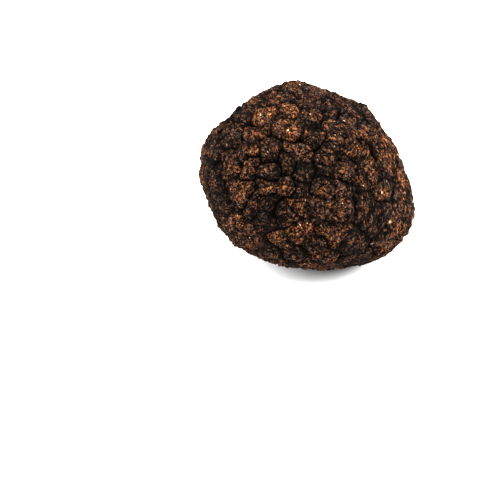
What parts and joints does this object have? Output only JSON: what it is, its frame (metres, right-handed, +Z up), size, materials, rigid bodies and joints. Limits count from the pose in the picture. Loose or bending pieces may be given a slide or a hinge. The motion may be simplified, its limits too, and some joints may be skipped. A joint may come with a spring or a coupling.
{
  "type": "black truffle",
  "caption": "Whole black truffle, a lumpy round tuber with a dark warty rind of low plates and fissures, resting on a small flat spot.",
  "frame": {"origin": "on the resting plane, under the middle of the truffle's box", "axes": "+Z up, square to the flat spot it rests on; +X along its longest extent, towards the end that slumps lower; -Y towards the near side"},
  "size_m": [0.0602, 0.0562, 0.0486],
  "materials": {
    "rind": "dry, matt, warty, black-brown with rust-brown wart tips"
  },
  "bodies": {
    "root": {"truffle": "rind"}
  },
  "joints": []
}
